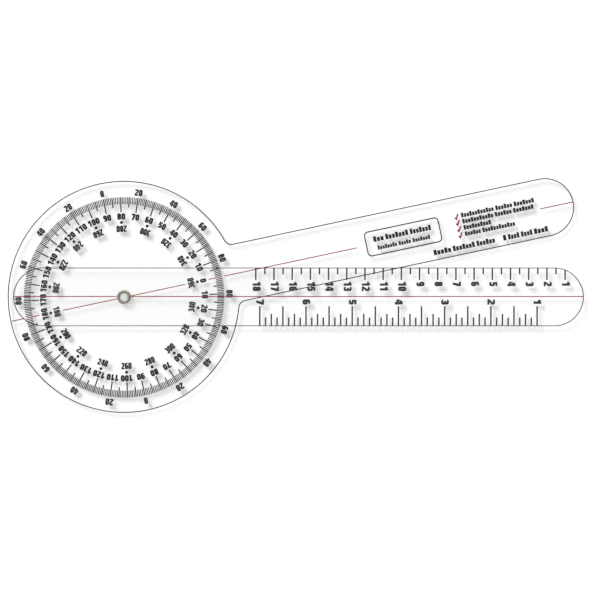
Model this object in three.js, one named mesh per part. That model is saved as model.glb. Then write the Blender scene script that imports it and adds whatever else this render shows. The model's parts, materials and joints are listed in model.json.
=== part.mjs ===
// A full-circle goniometer for measuring joint angles: two clear plastic sheets on one hollow eyelet.
//
// The lower sheet is a round dial with a straight arm. The upper sheet is a straight ruler arm. Both
// turn on a brass eyelet that is rolled over a washer underneath, and a thin washer keeps them apart.
//
// Millimetres, +Z up. The goniometer lies flat with its arms 12 degrees apart and the ruler arm along +X.
// The origin is the centre of its footprint, on the surface that it lies on, and the lowest point is the
// bottom of the eyelet's rolled rim.
import * as THREE from "three";

// Outline of the sheets, seen from above
const DISC_RADIUS = 63.8;
const ARM_WIDTH = 32.2;
const ARM_REACH = 252.8;
const RULER_TAIL = 60.6;
const FILLET_RADIUS = 4;
const PIVOT_HOLE_RADIUS = 2.7;
const ARM_OPENING = THREE.MathUtils.degToRad(12);

// Thickness of the sheets and of their broken edges
const SHEET_THICKNESS = 1.5;
const EDGE_BREAK = 0.2;

// Eyelet: a thin brass tube whose two ends are rolled outwards
const EYELET_HOLE_RADIUS = 2.2;
const EYELET_WALL = 0.35;
const FLANGE_RADIUS = 3.8;
const ROLLED_RIM_RADIUS = 3.5;

// Washers
const BACK_WASHER_RADIUS = 3.8;
const BACK_WASHER_THICKNESS = 0.4;
const FRICTION_WASHER_RADIUS = 3.7;
const FRICTION_WASHER_THICKNESS = 0.4;
const WASHER_HOLE_RADIUS = 2.65;

// The gap on each side of the ruler arm, so that it turns freely
const RUNNING_GAP = 0.1;

// Facets on the round edges
const DISC_STEPS = 128;
const ARM_END_STEPS = 28;
const FILLET_STEPS = 5;
const HOLE_STEPS = 48;
const RING_STEPS = 48;
const ROLL_STEPS = 8;

// Heights of the stack, from the rolled rim up to the flange
const HALF_WALL = EYELET_WALL / 2;
const BARREL_MID_RADIUS = EYELET_HOLE_RADIUS + HALF_WALL;
const RIM_ROLL_RADIUS = (ROLLED_RIM_RADIUS - HALF_WALL - BARREL_MID_RADIUS) / 2;
const FLANGE_ROLL_RADIUS = (FLANGE_RADIUS - HALF_WALL - BARREL_MID_RADIUS) / 2;
const BACK_WASHER_Z = RIM_ROLL_RADIUS + HALF_WALL;
const DIAL_Z = BACK_WASHER_Z + BACK_WASHER_THICKNESS;
const FRICTION_WASHER_Z = DIAL_Z + SHEET_THICKNESS;
const RULER_Z = FRICTION_WASHER_Z + FRICTION_WASHER_THICKNESS + RUNNING_GAP;
const FLANGE_Z = RULER_Z + SHEET_THICKNESS + RUNNING_GAP;

// Where the pivot axis stands, so that the origin is the middle of the footprint
const ARM_END_CENTRE = ARM_REACH - ARM_WIDTH / 2;
const FOOTPRINT_TOP = ARM_END_CENTRE * Math.sin(ARM_OPENING) + ARM_WIDTH / 2;
const PIVOT_X = (DISC_RADIUS - ARM_REACH) / 2;
const PIVOT_Y = (DISC_RADIUS - FOOTPRINT_TOP) / 2;

// Points along an arc, from one angle to the other, both ends included.
function arcPoints(centreX, centreY, radius, from, to, steps) {
  const points = [];
  for (let i = 0; i <= steps; i += 1) {
    const angle = from + ((to - from) * i) / steps;
    const x = centreX + radius * Math.cos(angle);
    const y = centreY + radius * Math.sin(angle);
    points.push(new THREE.Vector2(x, y));
  }
  return points;
}

// An outline through these points, with the pivot hole in it.
function outlineWithPivotHole(points) {
  const shape = new THREE.Shape(points);
  const hole = arcPoints(0, 0, PIVOT_HOLE_RADIUS, 0, -2 * Math.PI, HOLE_STEPS);
  shape.holes.push(new THREE.Path(hole.slice(0, -1)));
  return shape;
}

// The dial with its arm along +X: a disc, a round-ended arm and a fillet in each corner between them.
function dialArmOutline() {
  const halfWidth = ARM_WIDTH / 2;
  const filletY = halfWidth + FILLET_RADIUS;
  const filletX = Math.sqrt((DISC_RADIUS + FILLET_RADIUS) ** 2 - filletY ** 2);
  const corner = Math.atan2(filletY, filletX);
  const quarter = Math.PI / 2;
  return outlineWithPivotHole([
    ...arcPoints(ARM_END_CENTRE, 0, halfWidth, -quarter, quarter, ARM_END_STEPS),
    ...arcPoints(filletX, filletY, FILLET_RADIUS, -quarter, corner - Math.PI, FILLET_STEPS),
    ...arcPoints(0, 0, DISC_RADIUS, corner, 2 * Math.PI - corner, DISC_STEPS).slice(1, -1),
    ...arcPoints(filletX, -filletY, FILLET_RADIUS, Math.PI - corner, quarter, FILLET_STEPS),
  ]);
}

// The ruler arm: a straight strip along X with two round ends.
function rulerArmOutline() {
  const halfWidth = ARM_WIDTH / 2;
  const quarter = Math.PI / 2;
  return outlineWithPivotHole([
    ...arcPoints(ARM_END_CENTRE, 0, halfWidth, -quarter, quarter, ARM_END_STEPS),
    ...arcPoints(halfWidth - RULER_TAIL, 0, halfWidth, quarter, 3 * quarter, ARM_END_STEPS),
  ]);
}

// A sheet of this outline with its edges slightly broken, its underside at z = 0.
function sheet(outline) {
  const geometry = new THREE.ExtrudeGeometry(outline, {
    depth: SHEET_THICKNESS - 2 * EDGE_BREAK,
    bevelEnabled: true,
    bevelThickness: EDGE_BREAK,
    bevelSize: EDGE_BREAK,
    bevelOffset: -EDGE_BREAK,
    bevelSegments: 1,
  });
  return geometry.translate(0, 0, EDGE_BREAK);
}

// A ring about the pivot axis, from a closed loop of (radius, height) points. LatheGeometry turns its
// profile about Y, so the ring is then stood up along Z.
function ring(profile) {
  const closed = [...profile, profile[0].clone()];
  return new THREE.LatheGeometry(closed, RING_STEPS).rotateX(Math.PI / 2);
}

// A flat washer with its underside at z = 0.
function washer(holeRadius, radius, thickness) {
  return ring([
    new THREE.Vector2(holeRadius, 0),
    new THREE.Vector2(radius, 0),
    new THREE.Vector2(radius, thickness),
    new THREE.Vector2(holeRadius, thickness),
  ]);
}

// The eyelet: one wall of even thickness that runs up the barrel and curls outwards and back at each end.
function eyelet() {
  const rimX = BARREL_MID_RADIUS + RIM_ROLL_RADIUS;
  const flangeX = BARREL_MID_RADIUS + FLANGE_ROLL_RADIUS;
  const rimOuter = RIM_ROLL_RADIUS + HALF_WALL;
  const rimInner = RIM_ROLL_RADIUS - HALF_WALL;
  const flangeOuter = FLANGE_ROLL_RADIUS + HALF_WALL;
  const flangeInner = FLANGE_ROLL_RADIUS - HALF_WALL;
  return ring([
    ...arcPoints(rimX, BACK_WASHER_Z, rimOuter, -Math.PI, 0, ROLL_STEPS),
    ...arcPoints(rimX, BACK_WASHER_Z, rimInner, 0, -Math.PI, ROLL_STEPS),
    ...arcPoints(flangeX, FLANGE_Z, flangeInner, Math.PI, 0, ROLL_STEPS),
    ...arcPoints(flangeX, FLANGE_Z, flangeOuter, 0, Math.PI, ROLL_STEPS),
  ]);
}

function clearPlastic(tint) {
  return new THREE.MeshStandardMaterial({
    color: tint,
    roughness: 0.08,
    metalness: 0,
    transparent: true,
    opacity: 0.25,
  });
}

function named(name, geometry, material, z) {
  const mesh = new THREE.Mesh(geometry, material);
  mesh.name = name;
  mesh.position.z = z;
  return mesh;
}

const eyeletBrass = new THREE.MeshStandardMaterial({ color: 0x9a907a, roughness: 0.3, metalness: 1 });
const washerBrass = new THREE.MeshStandardMaterial({ color: 0xa89968, roughness: 0.4, metalness: 1 });
const whiteNylon = new THREE.MeshStandardMaterial({ color: 0xe9e8e2, roughness: 0.5, metalness: 0 });

const backWasher = washer(WASHER_HOLE_RADIUS, BACK_WASHER_RADIUS, BACK_WASHER_THICKNESS);
const frictionWasher = washer(WASHER_HOLE_RADIUS, FRICTION_WASHER_RADIUS, FRICTION_WASHER_THICKNESS);

// The dial sheet is turned so that its arm stands open from the ruler arm.
const dialSheet = new THREE.Group();
dialSheet.rotation.z = ARM_OPENING;
dialSheet.add(named("dial_arm", sheet(dialArmOutline()), clearPlastic(0xeef2f1), DIAL_Z));

const goniometer = new THREE.Group();
goniometer.position.set(PIVOT_X, PIVOT_Y, 0);
goniometer.add(
  dialSheet,
  named("back_washer", backWasher, washerBrass, BACK_WASHER_Z),
  named("friction_washer", frictionWasher, whiteNylon, FRICTION_WASHER_Z),
  named("pivot_eyelet", eyelet(), eyeletBrass, 0),
  named("ruler_arm", sheet(rulerArmOutline()), clearPlastic(0xf1f3f2), RULER_Z),
);

export default goniometer;
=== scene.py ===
import json
import math

import bmesh
import bpy
from mathutils import Matrix, Vector


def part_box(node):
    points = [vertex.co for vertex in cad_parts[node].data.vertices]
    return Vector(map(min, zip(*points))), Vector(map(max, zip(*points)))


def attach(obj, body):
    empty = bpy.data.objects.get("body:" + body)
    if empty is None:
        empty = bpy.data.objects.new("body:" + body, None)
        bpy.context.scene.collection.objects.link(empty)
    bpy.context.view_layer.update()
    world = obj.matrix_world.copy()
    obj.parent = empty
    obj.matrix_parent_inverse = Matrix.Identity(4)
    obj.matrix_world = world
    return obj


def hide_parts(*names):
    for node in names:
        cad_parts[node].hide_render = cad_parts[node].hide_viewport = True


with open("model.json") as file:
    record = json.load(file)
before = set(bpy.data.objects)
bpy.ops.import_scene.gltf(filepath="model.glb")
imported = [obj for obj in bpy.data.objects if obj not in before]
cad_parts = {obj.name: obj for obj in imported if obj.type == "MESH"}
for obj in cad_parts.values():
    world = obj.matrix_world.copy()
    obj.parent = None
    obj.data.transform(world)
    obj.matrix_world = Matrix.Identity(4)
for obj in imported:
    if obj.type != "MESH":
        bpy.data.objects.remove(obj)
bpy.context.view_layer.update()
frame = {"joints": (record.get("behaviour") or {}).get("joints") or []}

# A clear plastic goniometer: a dial sheet and a ruler sheet on one hollow eyelet, with printed scales.
# Shapes are drawn in millimetres in a plane whose origin is the pivot and whose X runs along an arm,
# and to_dial and to_ruler carry that plane into the shared frame, in metres.

MM = 0.001

# ---------------------------------------------------------------- sizes, from the frame

PIVOT = Vector(frame["joints"][0]["pos_m"])
dial_low, dial_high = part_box("dial_arm")
ruler_low, ruler_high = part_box("ruler_arm")
eyelet_low, eyelet_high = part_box("pivot_eyelet")

FLANGE_RADIUS = (eyelet_high.x - PIVOT.x) / MM
DISC_RADIUS = (PIVOT.x - dial_low.x) / MM
HALF_WIDTH = (ruler_high.y - ruler_low.y) / MM / 2
REACH = (ruler_high.x - PIVOT.x) / MM
RULER_TAIL = (PIVOT.x - ruler_low.x) / MM
END_CENTRE = REACH - HALF_WIDTH
OPENING = math.asin(((dial_high.y - PIVOT.y) / MM - HALF_WIDTH) / END_CENTRE)
DIAL_BOTTOM, DIAL_TOP = dial_low.z / MM, dial_high.z / MM
RULER_BOTTOM, RULER_TOP = ruler_low.z / MM, ruler_high.z / MM

FILLET_RADIUS = 4.0
HOLE_RADIUS = 2.7

# Each sheet's edge is eased: broadly on its printed face, where it is painted near black as painted shade
# and shows as a dark line, and a little on its plain face.
DIAL_RIM, RULER_RIM = 0.56, 0.44
RIM_HEIGHT = 0.04
PLAIN_ROUND = 0.25

# The eyelet is one wall of even thickness. Its top end is rolled out as far as the flange in the frame.
EYELET_WALL = 0.35
EYELET_HOLE = 2.2
ROLLED_RIM_RADIUS = 3.5
WASHER_HOLE = 2.65
WASHER_BREAK = 0.07

# Facets on the round edges
DISC_STEPS = 300
END_STEPS = 64
FILLET_STEPS = 10
HOLE_STEPS = 64
RIM_STEPS = 6
PLAIN_STEPS = 4
RING_STEPS = 128
ROLL_STEPS = 18
DOT_STEPS = 20
CORNER_STEPS = 8

# ---------------------------------------------------------------- plane geometry


def from_arm(opening):
    """Carries millimetres in an arm's own plane to metres in the shared frame."""
    place = Matrix.Translation((PIVOT.x, PIVOT.y, 0))
    return place @ Matrix.Rotation(opening, 4, "Z") @ Matrix.Scale(MM, 4)


to_dial = from_arm(OPENING)
to_ruler = from_arm(0.0)


def arc(centre, radii, start, end, steps):
    """Points on an ellipse from one angle to another, in degrees, both ends included."""
    points = []
    for i in range(steps + 1):
        angle = math.radians(start + (end - start) * i / steps)
        x = centre[0] + radii[0] * math.cos(angle)
        y = centre[1] + radii[1] * math.sin(angle)
        points.append((x, y))
    return points


def circle(radius, steps):
    return arc((0, 0), (radius, radius), 0, 360, steps)[:-1]


def dial_outline(inset):
    """The dial sheet's outline, moved inwards by inset: a disc, a round-ended arm and two fillets."""
    width = HALF_WIDTH - inset
    disc = DISC_RADIUS - inset
    fillet = FILLET_RADIUS + inset
    fillet_y = HALF_WIDTH + FILLET_RADIUS
    fillet_x = math.sqrt((DISC_RADIUS + FILLET_RADIUS) ** 2 - fillet_y**2)
    corner = math.degrees(math.atan2(fillet_y, fillet_x))
    return (
        arc((END_CENTRE, 0), (width, width), -90, 90, END_STEPS)
        + arc((fillet_x, fillet_y), (fillet, fillet), -90, corner - 180, FILLET_STEPS)
        + arc((0, 0), (disc, disc), corner, 360 - corner, DISC_STEPS)[1:-1]
        + arc((fillet_x, -fillet_y), (fillet, fillet), 180 - corner, 90, FILLET_STEPS)
    )


def ruler_outline(inset):
    """The ruler sheet's outline, moved inwards by inset: a strip with two round ends."""
    width = HALF_WIDTH - inset
    tail_centre = HALF_WIDTH - RULER_TAIL
    right = arc((END_CENTRE, 0), (width, width), -90, 90, END_STEPS)
    left = arc((tail_centre, 0), (width, width), 90, 270, END_STEPS)
    return right + left


# ---------------------------------------------------------------- mesh building


def new_piece(name, mesh, body, materials, place):
    """An object from a mesh, riding on a body, with the materials given."""
    mesh.transform(place)
    piece = bpy.data.objects.new(name, mesh)
    bpy.context.scene.collection.objects.link(piece)
    for material in materials:
        mesh.materials.append(material)
    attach(piece, body)
    return piece


def mesh_from(name, bm):
    """A mesh from a finished bmesh, with its faces pointing out."""
    bmesh.ops.recalc_face_normals(bm, faces=bm.faces)
    mesh = bpy.data.meshes.new(name)
    bm.to_mesh(mesh)
    bm.free()
    return mesh


def add_ring(bm, points, z):
    return [bm.verts.new((x, y, z)) for x, y in points]


def bridge(bm, lower, upper):
    """Quads between two rings of the same number of vertices. Gives the faces."""
    count = len(lower)
    faces = []
    for i in range(count):
        j = (i + 1) % count
        faces.append(bm.faces.new((lower[i], lower[j], upper[j], upper[i])))
    return faces


def ring_edges(bm, ring):
    return [bm.edges.get((ring[i - 1], ring[i])) for i in range(len(ring))]


def add_prism(bm, outline, low, high):
    """A closed prism of this outline."""
    lower, upper = add_ring(bm, outline, low), add_ring(bm, outline, high)
    bm.faces.new(lower)
    bm.faces.new(upper)
    bridge(bm, lower, upper)


def add_plate(bm, outlines, low, high):
    """A closed plate: the outline of its outside first, then the outlines of its holes."""
    lower = [add_ring(bm, outline, low) for outline in outlines]
    upper = [add_ring(bm, outline, high) for outline in outlines]
    for under, over in zip(lower, upper):
        bridge(bm, under, over)
    for rings in (lower, upper):
        edges = [edge for ring in rings for edge in ring_edges(bm, ring)]
        bmesh.ops.triangle_fill(bm, edges=edges, use_beauty=True)


def add_bar(bm, start, end, width, low, high):
    """A straight bar from one point to another."""
    along = Vector(end) - Vector(start)
    side = Vector((-along.y, along.x)).normalized() * width / 2
    a, b = Vector(start), Vector(end)
    add_prism(bm, [a + side, a - side, b - side, b + side], low, high)


def rounded_corner(width, height, steps):
    """(inset, rise) points from a sheet's face out to its side."""
    quarter = [math.pi / 2 * i / steps for i in range(steps + 1)]
    return [(width * (1 - math.sin(turn)), height * (1 - math.cos(turn))) for turn in quarter]


def sheet_mesh(name, outline_at, rim_width, printed_z, plain_z):
    """A flat sheet with the pivot hole. Material 0 is its faces, 1 the rim of its printed face, painted
    dark as painted shade, 2 its clear side.
    """
    bm = bmesh.new()
    up = 1 if plain_z > printed_z else -1
    printed_edge = rounded_corner(rim_width, RIM_HEIGHT, RIM_STEPS)
    plain_edge = rounded_corner(PLAIN_ROUND, PLAIN_ROUND, PLAIN_STEPS)
    rim = [(inset, printed_z + up * rise) for inset, rise in printed_edge]
    side = [(inset, plain_z - up * rise) for inset, rise in plain_edge]
    profile = rim + side[::-1]
    outer = [add_ring(bm, outline_at(inset), z) for inset, z in profile]
    inner = [add_ring(bm, circle(HOLE_RADIUS + inset, HOLE_STEPS), z) for inset, z in profile]
    for rings in (outer, inner):
        for i in range(len(profile) - 1):
            for face in bridge(bm, rings[i], rings[i + 1]):
                face.material_index = 1 if i < len(rim) - 1 else 2
                face.smooth = True
    for end in (0, -1):
        edges = ring_edges(bm, outer[end]) + ring_edges(bm, inner[end])
        bmesh.ops.triangle_fill(bm, edges=edges, use_beauty=True)
    return mesh_from(name, bm)


def turned_mesh(name, profile):
    """A smooth ring about the pivot axis, from a closed loop of (radius, height) points."""
    bm = bmesh.new()
    rings = []
    for radius, height in profile:
        rings.append(add_ring(bm, circle(radius, RING_STEPS), height))
    for i, ring in enumerate(rings):
        for face in bridge(bm, ring, rings[(i + 1) % len(rings)]):
            face.smooth = True
    return mesh_from(name, bm)


# ---------------------------------------------------------------- digits

SQUARENESS = 0.8
LEVEL_SHARE = 0.86
DIGIT_NAMES = ("zero", "one", "two", "three", "four", "five", "six", "seven", "eight", "nine")


class Figures:
    """Bold condensed digits in a box. Each is a list of outlines: its outside first, then its holes.

    A stroke is pen wide where it stands upright and bar thick where it lies level. A round stroke is
    given by the heights between which its middle line runs.
    """

    def __init__(self, width, height, pen):
        self.width, self.height = width, height
        self.pen, self.bar = pen, LEVEL_SHARE * pen
        self.low, self.high = self.bar / 2, height - self.bar / 2
        self.waist = 0.53 * height

    def outlines(self, digit):
        return getattr(self, DIGIT_NAMES[int(digit)])()

    def bowl(self, low, high, side, start, end, wide=1.0):
        """The outer (1) or inner (-1) side of a round stroke, from one angle to another in degrees."""
        centre_x, centre_y = self.width / 2, (low + high) / 2
        across = wide * (self.width - self.pen) / 2 + side * self.pen / 2
        up = (high - low + side * self.bar) / 2
        points = []
        for unit in arc((0, 0), (1, 1), start, end, math.ceil(abs(end - start) / 15)):
            x, y = (math.copysign(abs(v) ** SQUARENESS, v) for v in unit)
            points.append((centre_x + across * x, centre_y + up * y))
        return points

    def hole(self, low, high, wide=1.0):
        return self.bowl(low, high, -1, 0, 360, wide)[:-1]

    def angle_at(self, share):
        """The angle in degrees at which a bowl is this share of its radius away from its centre line."""
        return math.degrees(math.asin(share ** (1 / SQUARENESS)))

    def fold(self, low, high):
        """The angle at which a round stroke's outer side is as high as its middle line ever is."""
        return self.angle_at((high - low) / (high - low + self.bar))

    def zero(self):
        rise = 0.6 * (self.width - self.pen)
        sides = []
        for side in (1, -1):
            top = self.bowl(self.high - 2 * rise, self.high, side, 0, 180)
            bottom = self.bowl(self.low, self.low + 2 * rise, side, 180, 360)
            sides.append(top + bottom)
        return sides

    def one(self):
        right = 0.62 * self.width + self.pen / 2
        left = right - self.pen
        tip, flag_top = left - 0.32 * self.width, 0.88 * self.height
        stem = [(left, 0), (right, 0), (right, self.height), (right - 0.55 * self.pen, self.height)]
        flag = [(tip, flag_top), (tip, flag_top - self.bar), (left, 0.84 * self.height - self.bar)]
        return [stem + flag]

    def two(self):
        bottom = 0.5 * self.height
        foot = [(1.05 * self.pen, self.bar), (self.width, self.bar)]
        base = [(self.width, 0), (0, 0), (0, self.bar)]
        over = self.bowl(bottom, self.high, 1, 172, -28)
        under = self.bowl(bottom, self.high, -1, -28, 172)
        return [over + foot + base + under]

    def three(self):
        wide, tuck = 0.94, 0.3 * self.width
        over = self.bowl(self.waist, self.high, 1, 168, -self.fold(self.waist, self.high), wide)
        round_foot = self.bowl(self.low, self.waist, 1, self.fold(self.low, self.waist), -168)
        back = self.bowl(self.low, self.waist, -1, -168, 90)
        middle = [(tuck, self.waist - self.bar / 2), (tuck, self.waist + self.bar / 2)]
        under = self.bowl(self.waist, self.high, -1, -90, 168, wide)
        return [over + round_foot + back + middle + under]

    def four(self):
        right, foot = 0.94 * self.width, 0.2 * self.height
        left, level = right - self.pen, foot + self.bar
        leg = [(0, foot), (left, foot), (left, 0), (right, 0), (right, foot)]
        bar_end = [(self.width, foot), (self.width, level), (right, level)]
        top = [(right, self.height), (left - 0.2 * self.pen, self.height), (0, level)]
        gap = [(left, level), (left, 0.66 * self.height), (left - 0.14 * self.width, level)]
        return [leg + bar_end + top, gap]

    def five(self):
        left, right = 0.08 * self.width, 0.94 * self.width
        stem, level = left + 0.9 * self.pen, self.height - self.bar
        flag = [(stem, level), (right, level), (right, self.height), (left, self.height)]
        neck = [(left, 0.42 * self.height)]
        top = 0.95 * self.height - 1.5 * self.bar
        inside = self.bowl(self.low, top, -1, 140, -165)
        outside = self.bowl(self.low, top, 1, -165, 90)
        return [flag + neck + inside + outside]

    def six(self):
        """A ring under a hook. The hook's centre stands level with the top of the ring."""
        ring_top = 0.56 * self.height
        hook_low = 2 * ring_top + self.bar - self.high
        meeting = 90 + self.angle_at((self.width - 2 * self.pen) / self.width)
        hook = self.bowl(hook_low, self.high, 1, 25, 180)
        ring = self.bowl(self.low, ring_top, 1, 180, 360 + meeting)
        inside = self.bowl(hook_low, self.high, -1, 180, 25)
        return [hook + ring + inside, self.hole(self.low, ring_top)]

    def seven(self):
        foot, level = 0.16 * self.width, self.height - self.bar
        stem = [(foot, 0), (foot + 1.05 * self.pen, 0), (self.width, level), (self.width, self.height)]
        flag = [(0, self.height), (0, level), (self.width - 1.2 * self.pen, level)]
        return [stem + flag]

    def eight(self):
        wide = 0.93
        lower, upper = self.fold(self.low, self.waist), self.fold(self.waist, self.high)
        bottom = self.bowl(self.low, self.waist, 1, 180 - lower, 360 + lower)
        top = self.bowl(self.waist, self.high, 1, -upper, 180 + upper, wide)
        return [bottom + top, self.hole(self.low, self.waist), self.hole(self.waist, self.high, wide)]

    def nine(self):
        return [[(self.width - x, self.height - y) for x, y in outline] for outline in self.six()]


class Lettering:
    """Printed numbers of one size. Each digit is made once and copied."""

    def __init__(self, width, height, pen, advance):
        self.width, self.height, self.advance = width, height, advance
        self.figures = Figures(width, height, pen)
        self.made = {}

    def digit(self, digit):
        if digit not in self.made:
            bm = bmesh.new()
            add_plate(bm, self.figures.outlines(digit), 0, 1)
            self.made[digit] = mesh_from("digit", bm)
        return self.made[digit]

    def write(self, bm, text, centre, turn, low, high):
        """Adds text centred on a point, turned by an angle in degrees, from one height to another."""
        turned = Matrix.Rotation(math.radians(turn), 4, "Z")
        place = Matrix.Translation((centre[0], centre[1], low)) @ turned
        start = -self.advance * (len(text) - 1) / 2 - self.width / 2
        for i, character in enumerate(text):
            shift = Matrix.Translation((start + i * self.advance, -self.height / 2, 0))
            thickness = Matrix.Diagonal((1, 1, high - low, 1))
            copy = self.digit(character).copy()
            copy.transform(place @ shift @ thickness)
            bm.from_mesh(copy)
            bpy.data.meshes.remove(copy)


# ---------------------------------------------------------------- materials


class Material:
    """A node material with short calls for adding and joining nodes."""

    def __init__(self, name):
        self.material = bpy.data.materials.new(name)
        self.material.use_nodes = True
        self.tree = self.material.node_tree
        self.tree.nodes.clear()
        self.output = self.tree.nodes.new("ShaderNodeOutputMaterial")
        self.place = self.node("TexCoord").outputs["Object"]

    def node(self, kind, inputs=None, **settings):
        made = self.tree.nodes.new("ShaderNode" + kind)
        for key, value in settings.items():
            setattr(made, key, value)
        for key, value in (inputs or {}).items():
            if isinstance(value, bpy.types.NodeSocket):
                self.tree.links.new(value, made.inputs[key])
            else:
                made.inputs[key].default_value = value
        return made

    def maths(self, operation, a, b=0.0):
        return self.node("Math", {0: a, 1: b}, operation=operation).outputs[0]

    def noise(self, scale, detail=3.0, place=None):
        inputs = {"Vector": place or self.place, "Scale": scale, "Detail": detail, "Roughness": 0.55}
        return self.node("TexNoise", inputs).outputs["Fac"]

    def spread(self, value, low, high, start=0.3, end=0.7):
        """A value that runs from start to end, made to run from low to high."""
        inputs = {"Value": value, "From Min": start, "From Max": end, "To Min": low, "To Max": high}
        return self.node("MapRange", inputs).outputs[0]

    def colours(self, value, low, high):
        """A colour from low to high, by a value from 0 to 1."""
        mix = self.node("Mix", data_type="RGBA")
        self.tree.links.new(value, mix.inputs["Factor"])
        mix.inputs[6].default_value = (*low, 1)
        mix.inputs[7].default_value = (*high, 1)
        return mix.outputs[2]

    def bump(self, height, distance, strength):
        inputs = {"Height": height, "Distance": distance, "Strength": strength}
        return self.node("Bump", inputs).outputs["Normal"]

    def stretched(self, scale, turn=0.0):
        """The place on the object, scaled along each axis and turned about Z."""
        inputs = {"Vector": self.place, "Scale": scale, "Rotation": (0, 0, turn)}
        return self.node("Mapping", inputs).outputs["Vector"]

    def about_pivot(self):
        """(distance from the pivot axis, angle round it), in metres and radians."""
        from_pivot = {0: self.place, 1: (PIVOT.x, PIVOT.y, 0)}
        away = self.node("VectorMath", from_pivot, operation="SUBTRACT").outputs[0]
        split = self.node("SeparateXYZ", {0: away})
        x, y = split.outputs[0], split.outputs[1]
        squares = self.maths("ADD", self.maths("POWER", x, 2.0), self.maths("POWER", y, 2.0))
        return self.maths("SQRT", squares), self.maths("ARCTAN2", y, x)

    def turning_marks(self, across, along, scale, detail=2.0):
        """Fine noise drawn out into rings round the pivot axis."""
        inputs = {0: self.maths("MULTIPLY", across, scale), 1: along}
        return self.noise(1.0, detail, self.node("CombineXYZ", inputs).outputs[0])

    def blend(self, factor, first, second):
        """The first shader at factor 0, and the second at 1."""
        return self.node("MixShader", {0: factor, 1: first.outputs[0], 2: second.outputs[0]})

    def surface(self, shader):
        self.tree.links.new(shader.outputs[0], self.output.inputs["Surface"])
        return self.material


def clear_sheet(name, tint):
    """Clear rigid vinyl: a faint uneven tint, and a gloss broken by hairline scratches. Some scratches
    are straight, and those near the pivot run round it. Only the sheet's outer side is glossy."""
    m = Material(name)
    cloud = m.noise(14.0, 4.0)
    through = m.colours(cloud, tint, tuple(min(1.0, c + 0.003) for c in tint))
    scratches = None
    for turn, fineness in ((0.35, 900.0), (1.9, 700.0)):
        line = m.noise(1.0, 2.0, m.stretched((fineness / 60, fineness, 1.0), turn))
        line = m.spread(line, 0.0, 1.0, 0.68, 0.74)
        scratches = line if scratches is None else m.maths("MAXIMUM", scratches, line)
    distance, angle = m.about_pivot()
    rubbed = m.turning_marks(distance, m.maths("MULTIPLY", angle, 1.2), 3800.0)
    rubbed = m.spread(rubbed, 0.0, 1.0, 0.66, 0.74)
    near = m.spread(distance, 1.0, 0.0, 20 * MM, 62 * MM)
    scratches = m.maths("MAXIMUM", scratches, m.maths("MULTIPLY", rubbed, near))
    normal = m.bump(scratches, 0.00001, 0.35)
    rough = m.maths("ADD", m.spread(m.noise(30.0), 0.03, 0.07), m.maths("MULTIPLY", scratches, 0.12))
    clear = m.node("BsdfTransparent", {"Color": through})
    gloss = m.node("BsdfGlossy", {"Roughness": rough, "Normal": normal})
    fresnel = m.node("Fresnel", {"IOR": 1.49, "Normal": normal}).outputs[0]
    facing = m.maths("SUBTRACT", 1.0, m.node("NewGeometry").outputs["Backfacing"])
    return m.surface(m.blend(m.maths("MULTIPLY", fresnel, facing), clear, gloss))


def sheet_rim(name):
    """The eased rim of a clear sheet, painted near black as painted shade for the light its curve bends
    away.
    """
    m = Material(name)
    streaks = m.noise(1.0, 2.0, m.stretched((2600.0, 2600.0, 120.0)))
    # The near-black colour is painted shade, standing in for the darkness that refraction gives a clear
    # edge.
    shade = m.colours(m.noise(120.0), (0.012, 0.013, 0.013), (0.035, 0.037, 0.037))
    normal = m.bump(streaks, 0.00003, 0.5)
    rough = m.spread(streaks, 0.2, 0.4)
    inputs = {"Base Color": shade, "Roughness": rough, "IOR": 1.25, "Normal": normal}
    body = m.node("BsdfPrincipled", inputs)
    clear = m.node("BsdfTransparent", {"Color": (0.9, 0.93, 0.93, 1)})
    return m.surface(m.blend(m.spread(m.noise(60.0), 0.94, 1.0), clear, body))


def sheet_side(name):
    """The cut side of a clear sheet: see-through, with the streaks of the cutter and a dark grey haze,
    partly the frosting of the cut and partly painted shade for the darker things it bends into view. It
    shades the floor less than it looks, because the light that it turns aside still gets there."""
    m = Material(name)
    streaks = m.noise(1.0, 2.0, m.stretched((2600.0, 2600.0, 120.0)))
    # This dark grey is partly the cut's frosting and partly painted shade.
    frost_and_painted_shade = m.colours(streaks, (0.02, 0.04, 0.04), (0.1, 0.15, 0.15))
    normal = m.bump(streaks, 0.00003, 0.6)
    rough = m.spread(streaks, 0.15, 0.35)
    body = m.node("BsdfPrincipled", {"Base Color": frost_and_painted_shade, "Roughness": rough, "Normal": normal})
    clear = m.node("BsdfTransparent", {"Color": (0.985, 0.99, 0.99, 1)})
    haze = m.maths("ADD", m.noise(60.0), m.maths("MULTIPLY", streaks, 0.3))
    look = m.blend(m.spread(haze, 0.3, 0.5, 0.4, 0.9), clear, body)
    shadow = m.node("BsdfTransparent", {"Color": (0.89, 0.9, 0.9, 1)})
    return m.surface(m.blend(m.node("LightPath").outputs["Is Shadow Ray"], look, shadow))


def ink(name, thin, thick, gloss):
    """Screen-printed ink, a little uneven in colour and shine."""
    m = Material(name)
    coarse, fine = m.noise(90.0, 3.0), m.noise(5200.0, 2.0)
    colour = m.colours(m.maths("MULTIPLY", m.maths("ADD", coarse, fine), 0.5), thin, thick)
    rough = m.spread(m.maths("ADD", coarse, m.maths("MULTIPLY", fine, 0.2)), gloss, gloss + 0.18)
    normal = m.bump(fine, 0.000006, 0.6)
    inputs = {"Base Color": colour, "Roughness": rough, "Normal": normal}
    return m.surface(m.node("BsdfPrincipled", inputs))


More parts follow.
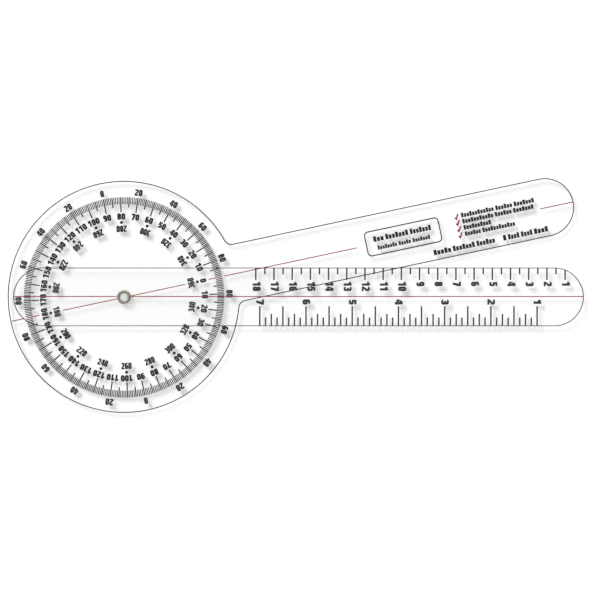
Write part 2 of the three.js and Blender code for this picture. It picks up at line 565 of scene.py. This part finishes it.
def worn_metal(name, bright, dull, rough):
    """Plated brass with turning marks round the pivot, dull patches and small pits."""
    m = Material(name)
    distance, angle = m.about_pivot()
    height = m.node("SeparateXYZ", {0: m.place}).outputs[2]
    across, along = m.maths("ADD", distance, height), m.maths("MULTIPLY", angle, 1.5)
    turned = m.turning_marks(across, along, 9000.0, 3.0)
    patches = m.noise(420.0, 5.0)
    pits = m.spread(m.noise(3200.0, 2.0), 1.0, 0.0, 0.28, 0.36)
    colour = m.colours(m.spread(patches, 0.0, 1.0, 0.35, 0.62), bright, dull)
    uneven = m.maths("ADD", patches, m.maths("MULTIPLY", turned, 0.5))
    uneven = m.spread(uneven, rough, rough + 0.22, 0.5, 1.0)
    relief = m.maths("SUBTRACT", m.maths("MULTIPLY", turned, 0.6), pits)
    normal = m.bump(relief, 0.00002, 0.5)
    inputs = {"Base Color": colour, "Metallic": 1.0, "Roughness": uneven, "Normal": normal}
    return m.surface(m.node("BsdfPrincipled", inputs))


def moulded_nylon(name):
    """Milky nylon with a soft, slightly grained face."""
    m = Material(name)
    grain = m.noise(2400.0, 3.0)
    colour = m.colours(m.noise(260.0), (0.74, 0.74, 0.7), (0.82, 0.82, 0.79))
    rough, normal = m.spread(grain, 0.42, 0.6), m.bump(grain, 0.00002, 0.4)
    inputs = {"Base Color": colour, "Roughness": rough, "Normal": normal}
    return m.surface(m.node("BsdfPrincipled", inputs))


dial_plastic = clear_sheet("dial_plastic", (0.993, 0.995, 0.995))
ruler_plastic = clear_sheet("ruler_plastic", (0.993, 0.995, 0.994))
rim_painted_shade = sheet_rim("rim_painted_shade")
side_plastic = sheet_side("side_plastic")
black_ink = ink("black_ink", (0.005, 0.005, 0.006), (0.013, 0.013, 0.014), 0.42)
red_ink = ink("red_ink", (0.3, 0.018, 0.05), (0.4, 0.03, 0.075), 0.42)
eyelet_metal = worn_metal("eyelet_metal", (0.54, 0.52, 0.44), (0.4, 0.38, 0.31), 0.16)
washer_metal = worn_metal("washer_metal", (0.56, 0.48, 0.3), (0.34, 0.28, 0.16), 0.3)
nylon = moulded_nylon("nylon")

# ---------------------------------------------------------------- sheets, eyelet and washers


def eyelet_profile():
    """One wall of even thickness: up the barrel, and curled outwards and back at each end."""
    half_wall = EYELET_WALL / 2
    barrel = EYELET_HOLE + half_wall
    profile = []
    ends = (
        (ROLLED_RIM_RADIUS, eyelet_low.z / MM, 1, (-180, 0)),
        (FLANGE_RADIUS, eyelet_high.z / MM, -1, (0, 180)),
    )
    for radius, tip, inwards, (start, end) in ends:
        roll = (radius - half_wall - barrel) / 2
        centre = (barrel + roll, tip + inwards * (roll + half_wall))
        outer = arc(centre, (roll + half_wall, roll + half_wall), start, end, ROLL_STEPS)
        inner = arc(centre, (roll - half_wall, roll - half_wall), end, start, ROLL_STEPS)
        profile += outer + inner if inwards > 0 else inner + outer
    return profile


def washer_profile(node):
    """A flat ring as wide and thick as this CAD node, with its four corners broken."""
    low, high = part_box(node)
    radius = (high.x - low.x) / MM / 2
    low, high = low.z / MM, high.z / MM
    bottom = [(WASHER_HOLE + WASHER_BREAK, low), (radius - WASHER_BREAK, low)]
    outside = [(radius, low + WASHER_BREAK), (radius, high - WASHER_BREAK)]
    top = [(radius - WASHER_BREAK, high), (WASHER_HOLE + WASHER_BREAK, high)]
    inside = [(WASHER_HOLE, high - WASHER_BREAK), (WASHER_HOLE, low + WASHER_BREAK)]
    return bottom + outside + top + inside


def make_dial_sheet():
    mesh = sheet_mesh("dial_sheet", dial_outline, DIAL_RIM, DIAL_TOP, DIAL_BOTTOM)
    finish = (dial_plastic, rim_painted_shade, side_plastic)
    piece = new_piece("dial_sheet", mesh, "dial_body", finish, to_dial)
    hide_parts("dial_arm")


def make_ruler_sheet():
    mesh = sheet_mesh("ruler_sheet", ruler_outline, RULER_RIM, RULER_BOTTOM, RULER_TOP)
    finish = (ruler_plastic, rim_painted_shade, side_plastic)
    piece = new_piece("ruler_sheet", mesh, "ruler_body", finish, to_ruler)
    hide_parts("ruler_arm")


def make_eyelet():
    """The eyelet casts no shadow of its own, so that its small hole reads as open from above. The washers
    under it give the ring-shaped shadow."""
    mesh = turned_mesh("eyelet", eyelet_profile())
    piece = new_piece("eyelet", mesh, "dial_body", (eyelet_metal,), to_ruler)
    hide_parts("pivot_eyelet")
    piece.visible_shadow = False


def make_washer(name, node, material):
    mesh = turned_mesh(name, washer_profile(node))
    piece = new_piece(name, mesh, "dial_body", (material,), to_ruler)
    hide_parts(node)


make_dial_sheet()
make_ruler_sheet()
make_eyelet()
make_washer("rolled_washer", "back_washer", washer_metal)
make_washer("slip_washer", "friction_washer", nylon)

# ---------------------------------------------------------------- printing

# Ink stands out of its sheet's printed face by INK and reaches into it by BITE.
INK = 0.03
BITE = 0.01
DIAL_INK = (DIAL_TOP - BITE, DIAL_TOP + INK)
RULER_INK = (RULER_BOTTOM - INK, RULER_BOTTOM + BITE)

# The printing is a little out of register with the pivot, by these amounts in each sheet's own plane.
DIAL_SLIP = (0.1, -0.28)
RULER_SLIP = (0.0, 0.2)

# Each sheet has a red line along its middle, which starts just outside the eyelet.
HAIRLINE = 0.52
HAIRLINE_START = FLANGE_RADIUS + 0.3

INKS = {"black": black_ink, "red": red_ink}


def printed(name, draw, colour, body, place):
    """A piece of ink: draw adds its closed solids to a bmesh, in the plane of its sheet."""
    bm = bmesh.new()
    draw(bm)
    new_piece(name, mesh_from(name, bm), body, (INKS[colour],), place)


def on_dial(name, draw, colour="black"):
    printed(name, draw, colour, "dial_body", to_dial @ Matrix.Translation((*DIAL_SLIP, 0)))


def on_ruler(name, draw, colour="black"):
    printed(name, draw, colour, "ruler_body", to_ruler @ Matrix.Translation((*RULER_SLIP, 0)))


# ---------------------------------------------------------------- printing on the dial

# Rings of the printing, by how far they are in from the dial's edge: where the ticks begin and end, and
# the middles of the numbers and dots.
TICK_START = DISC_RADIUS - 8.7
TEN_END = DISC_RADIUS - 17.0
FIVE_END = DISC_RADIUS - 14.3
ONE_END = DISC_RADIUS - 12.5
OUTER_NUMBERS = DISC_RADIUS - 5.7
MIDDLE_NUMBERS = DISC_RADIUS - 19.3
DOT_RING = DISC_RADIUS - 22.6
INNER_NUMBERS = DISC_RADIUS - 26.1

BOLD_TICK, FINE_TICK = 0.7, 0.525
DOT_RADIUS = 0.84


def polar(radius, degrees):
    angle = math.radians(degrees)
    return radius * math.cos(angle), radius * math.sin(angle)


def degree_ticks(bm):
    """A tick at every degree but on the hairline, longer at every fifth and longest at every tenth."""
    for degree in range(360):
        if degree in (0, 180):
            continue
        end = TEN_END if degree % 10 == 0 else FIVE_END if degree % 5 == 0 else ONE_END
        width = BOLD_TICK if degree % 5 == 0 else FINE_TICK
        add_bar(bm, polar(end, degree), polar(TICK_START, degree), width, *DIAL_INK)


def outer_numbers(bm):
    """0 to 80 by twenties, both ways from each side of the dial. They face outwards."""
    letters = Lettering(width=2.1, height=3.65, pen=1.0, advance=2.2)
    for side in (-1, 1):
        for value in range(0, 81, 20):
            for angle in {90 - value, 90 + value}:
                centre = polar(OUTER_NUMBERS, side * angle)
                letters.write(bm, str(value), centre, side * angle - 90, *DIAL_INK)


def middle_numbers(bm):
    """0 to 180 by tens, both ways round from the arm. They face outwards."""
    letters = Lettering(width=2.18, height=3.55, pen=1.04, advance=2.24)
    for angle in range(-170, 181, 10):
        letters.write(bm, str(abs(angle)), polar(MIDDLE_NUMBERS, angle), angle - 90, *DIAL_INK)


def inner_numbers(bm):
    """360 down to 180 by twenties, both ways round from the arm. They face inwards."""
    letters = Lettering(width=1.88, height=3.65, pen=0.9, advance=1.92)
    for angle in range(-160, 181, 20):
        letters.write(bm, str(360 - abs(angle)), polar(INNER_NUMBERS, angle), angle + 90, *DIAL_INK)


def scale_dots(bm):
    """A dot at every twenty degrees, between the middle and the inner numbers."""
    for angle in range(0, 360, 20):
        dot = arc(polar(DOT_RING, angle), (DOT_RADIUS, DOT_RADIUS), 0, 360, DOT_STEPS)
        add_prism(bm, dot[:-1], *DIAL_INK)


# A plain filler block on the dial's arm: a label box, four rows with check marks, and a footer. A word is
# a run of small upright blocks that stand for lettering, and a row is the lengths of its words. Heights
# are those of the blocks' feet.
LABEL_X, LABEL_Y = REACH - 95.8, 0.6
LABEL_HALF_WIDTH, LABEL_HALF_HEIGHT, LABEL_CORNER = 21.0, 7.0, 2.4
LABEL_LINE = 0.65
FIELD_START = REACH - 62.3
FIELD_ROWS = {4.3: (18.5, 9.5, 11.5), 0.9: (17.5, 9.5, 11.5), -2.6: (15.5,), -6.1: (9.0, 18.5)}
FOOTER_Y = -12.9
FOOTERS = {REACH - 81.3: (10.0, 12.5, 10.5), REACH - 42.3: (2.0, 6.5, 6.5, 8.0)}
LARGE_BLOCK, FIELD_BLOCK, SMALL_BLOCK = 2.3, 2.0, 1.8
WORD_GAP = 0.8

# A check mark's corners, from the start of its row
CHECK_MARK = ((-3.15, 1.04), (-2.85, 0.62), (-1.78, 2.7), (-1.02, 2.3), (-2.75, -1.02), (-3.85, 0.56))


def add_row(bm, start, foot, lengths, height):
    """A row of words. Every third block of a word is a little taller than the rest."""
    for length in lengths:
        count = max(1, round(length / (0.8 * height)))
        pitch = length / count
        for i in range(count):
            x = start + (i + 0.5) * pitch
            top = foot + height * (1.3 if i % 3 == 0 else 1.0)
            add_bar(bm, (x, foot), (x, top), 0.84 * pitch, *DIAL_INK)
        start += length + WORD_GAP


def label_outline(inset):
    radius = LABEL_CORNER - inset
    points = []
    for i, (side_x, side_y) in enumerate(((1, 1), (-1, 1), (-1, -1), (1, -1))):
        x = LABEL_X + side_x * (LABEL_HALF_WIDTH - LABEL_CORNER)
        y = LABEL_Y + side_y * (LABEL_HALF_HEIGHT - LABEL_CORNER)
        points += arc((x, y), (radius, radius), 90 * i, 90 * i + 90, CORNER_STEPS)
    return points


def filler_block(bm):
    add_plate(bm, [label_outline(0), label_outline(LABEL_LINE)], *DIAL_INK)
    add_row(bm, LABEL_X - 16.5, LABEL_Y + 0.6, (6.0, 13.0, 12.0), LARGE_BLOCK)
    add_row(bm, LABEL_X - 15.0, LABEL_Y - 4.1, (11.0, 7.0, 10.0), SMALL_BLOCK)
    for foot, lengths in FIELD_ROWS.items():
        add_row(bm, FIELD_START, foot, lengths, FIELD_BLOCK)
    for start, lengths in FOOTERS.items():
        add_row(bm, start, FOOTER_Y, lengths, LARGE_BLOCK)


def row_checks(bm):
    """A check mark before each row: a short stroke down and a long one up."""
    for foot in FIELD_ROWS:
        outline = [(FIELD_START + x, foot + y) for x, y in CHECK_MARK]
        add_prism(bm, outline, *DIAL_INK)


def dial_hairline(bm):
    """A line along the arm and through the pivot, broken at the numbers, ticks and filler block."""
    outside = TICK_START + 1.3
    inside = ((HAIRLINE_START, INNER_NUMBERS - 3.3), (MIDDLE_NUMBERS + 3.0, TICK_START - 0.1))
    stretches = [(side * start, side * end) for side in (-1, 1) for start, end in inside]
    stretches.append((-outside, DIAL_RIM - DISC_RADIUS))
    stretches.append((outside, LABEL_X - 26.0))
    stretches.append((REACH - 18.8, REACH - DIAL_RIM))
    for start, end in stretches:
        add_bar(bm, (start, 0), (end, 0), HAIRLINE, *DIAL_INK)


on_dial("dial_degree_ticks", degree_ticks)
on_dial("dial_outer_numbers", outer_numbers)
on_dial("dial_middle_numbers", middle_numbers)
on_dial("dial_inner_numbers", inner_numbers)
on_dial("dial_dots", scale_dots)
on_dial("dial_hairline", dial_hairline, "red")
on_dial("arm_filler_block", filler_block)
on_dial("arm_check_marks", row_checks, "red")

# ---------------------------------------------------------------- printing on the ruler

# Both scales start just inside the ruler's far end. Ticks are as long as they reach in from the edge.
CENTIMETRE, INCH = 10.0, 25.4
LAST_CENTIMETRE, LAST_INCH = 18, 7
SCALE_ZERO = REACH - 0.2
RULER_TICK = 0.84
WHOLE_CENTIMETRE, HALF_CENTIMETRE = 7.0, 3.9
HALF_INCH, QUARTER_INCH, EIGHTH_INCH = 10.8, 6.6, 4.6
CENTIMETRE_NUMBERS = HALF_WIDTH - 7.9
INCH_NUMBERS = -3.0


def edge_height(x):
    """How far the ruler's long edges are from its centre line at x, halfway over its dark-painted rim."""
    past = max(0.0, x - END_CENTRE)
    return math.sqrt(HALF_WIDTH**2 - past**2) - RULER_RIM / 2


def centimetre_ticks(bm):
    for halves in range(2, 2 * LAST_CENTIMETRE + 1):
        x = SCALE_ZERO - halves * CENTIMETRE / 2
        length = WHOLE_CENTIMETRE if halves % 2 == 0 else HALF_CENTIMETRE
        add_bar(bm, (x, edge_height(x)), (x, HALF_WIDTH - length), RULER_TICK, *RULER_INK)


def centimetre_numbers(bm):
    """Numbers that read down from the edge, all starting at the same distance from it."""
    letters = Lettering(width=2.6, height=4.55, pen=1.25, advance=2.66)
    for value in range(1, LAST_CENTIMETRE + 1):
        text = str(value)
        middle = CENTIMETRE_NUMBERS - ((len(text) - 1) * letters.advance + letters.width) / 2
        centre = (SCALE_ZERO - value * CENTIMETRE + 0.5, middle)
        letters.write(bm, text, centre, -90, *RULER_INK)


def inch_ticks(bm):
    for eighths in range(8, 8 * LAST_INCH + 1):
        x = SCALE_ZERO - eighths * INCH / 8
        length = HALF_INCH if eighths % 4 == 0 else QUARTER_INCH if eighths % 2 == 0 else EIGHTH_INCH
        add_bar(bm, (x, -edge_height(x)), (x, length - HALF_WIDTH), RULER_TICK, *RULER_INK)


def inch_numbers(bm):
    letters = Lettering(width=3.0, height=4.3, pen=1.38, advance=3.1)
    for value in range(1, LAST_INCH + 1):
        centre = (SCALE_ZERO - value * INCH + 0.2, INCH_NUMBERS)
        letters.write(bm, str(value), centre, -90, *RULER_INK)


def ruler_hairline(bm):
    for start, end in ((HAIRLINE_START, REACH - RULER_RIM), (-HAIRLINE_START, RULER_RIM - RULER_TAIL)):
        add_bar(bm, (start, 0), (end, 0), HAIRLINE, *RULER_INK)


on_ruler("ruler_cm_ticks", centimetre_ticks)
on_ruler("ruler_cm_numbers", centimetre_numbers)
on_ruler("ruler_inch_ticks", inch_ticks)
on_ruler("ruler_inch_numbers", inch_numbers)
on_ruler("ruler_hairline", ruler_hairline, "red")

# ---------------------------------------------------------------- stage, light and camera

FLOOR_SIZE = 12.0
FLOOR_WHITE, FLOOR_GLOW = 0.9, 0.39

# The studio's sky, as gloss sees it, is dark on one side and bright on the other.
STUDIO_LOW, STUDIO_HIGH = 0.05, 1.35
BRIGHT_SIDE = Vector((-0.62, 0.62, 0.5))
FILL = 0.2

# The key light: how wide it looks, in degrees, and which way it shines
KEY_STRENGTH = 2.75
KEY_WIDTH = 26.0
KEY_DIRECTION = Vector((2.5, -3.0, -2.85))

# The camera looks straight down on this point, and takes in this width of the dial's printed face.
VIEW_CENTRE = Vector((PIVOT.x + 96.9 * MM, PIVOT.y - 1.7 * MM, DIAL_TOP * MM))
VIEW_WIDTH = 329.9 * MM
LENS, SENSOR = 120.0, 36.0


def make_floor():
    """A plain white floor. Its own faint glow makes it pure white, so that only shadows show on it."""
    bm = bmesh.new()
    corners = arc((0, 0), (FLOOR_SIZE, FLOOR_SIZE), 45, 315, 3)
    bm.faces.new(add_ring(bm, corners, 0))
    floor = bpy.data.objects.new("floor", mesh_from("floor", bm))
    bpy.context.scene.collection.objects.link(floor)
    m = Material("floor_white")
    shade = m.colours(m.noise(3.0), (FLOOR_WHITE,) * 3, (FLOOR_WHITE + 0.004,) * 3)
    lit = m.node("BsdfDiffuse", {"Color": shade}).outputs[0]
    glow = m.node("Emission", {"Strength": FLOOR_GLOW}).outputs[0]
    floor.data.materials.append(m.surface(m.node("AddShader", {0: lit, 1: glow})))


def make_world():
    """A soft white studio: a weak fill on plain surfaces, and in gloss a sky with one bright side."""
    world = bpy.data.worlds.new("studio")
    bpy.context.scene.world = world
    world.use_nodes = True
    nodes, links = world.node_tree.nodes, world.node_tree.links
    nodes.clear()
    towards, sky = nodes.new("ShaderNodeVectorMath"), nodes.new("ShaderNodeMapRange")
    towards.operation = "DOT_PRODUCT"
    links.new(nodes.new("ShaderNodeTexCoord").outputs["Generated"], towards.inputs[0])
    towards.inputs[1].default_value = BRIGHT_SIDE.normalized()
    links.new(towards.outputs["Value"], sky.inputs["Value"])
    sky.inputs["From Min"].default_value = -0.2
    sky.inputs["To Min"].default_value = STUDIO_LOW
    sky.inputs["To Max"].default_value = STUDIO_HIGH
    studio, fill, backdrop = (nodes.new("ShaderNodeBackground") for _ in range(3))
    for light, strength in ((studio, 1.0), (fill, FILL), (backdrop, 1.0)):
        light.inputs["Color"].default_value = (1, 1, 1, 1)
        light.inputs["Strength"].default_value = strength
    links.new(sky.outputs[0], studio.inputs["Strength"])
    path = nodes.new("ShaderNodeLightPath")
    shader = studio
    for ray, light in (("Is Diffuse Ray", fill), ("Is Camera Ray", backdrop)):
        mix = nodes.new("ShaderNodeMixShader")
        links.new(path.outputs[ray], mix.inputs[0])
        links.new(shader.outputs[0], mix.inputs[1])
        links.new(light.outputs[0], mix.inputs[2])
        shader = mix
    links.new(shader.outputs[0], nodes.new("ShaderNodeOutputWorld").inputs["Surface"])


def make_key():
    """A broad soft light from the upper left. It doesn't show in gloss, where the studio's sky does."""
    key = bpy.data.lights.new("key", "SUN")
    key.energy = KEY_STRENGTH
    key.angle = math.radians(KEY_WIDTH)
    lamp = bpy.data.objects.new("key", key)
    lamp.visible_glossy = False
    lamp.rotation_euler = KEY_DIRECTION.to_track_quat("-Z", "Y").to_euler()
    bpy.context.scene.collection.objects.link(lamp)


def make_camera():
    lens = bpy.data.cameras.new("camera")
    lens.lens, lens.sensor_width = LENS, SENSOR
    lens.clip_start, lens.clip_end = 0.05, 50
    camera = bpy.data.objects.new("camera", lens)
    camera.location = VIEW_CENTRE + Vector((0, 0, VIEW_WIDTH * LENS / SENSOR))
    bpy.context.scene.collection.objects.link(camera)
    bpy.context.scene.camera = camera


make_floor()
make_world()
make_key()
make_camera()
bpy.context.scene.view_settings.view_transform = "Standard"
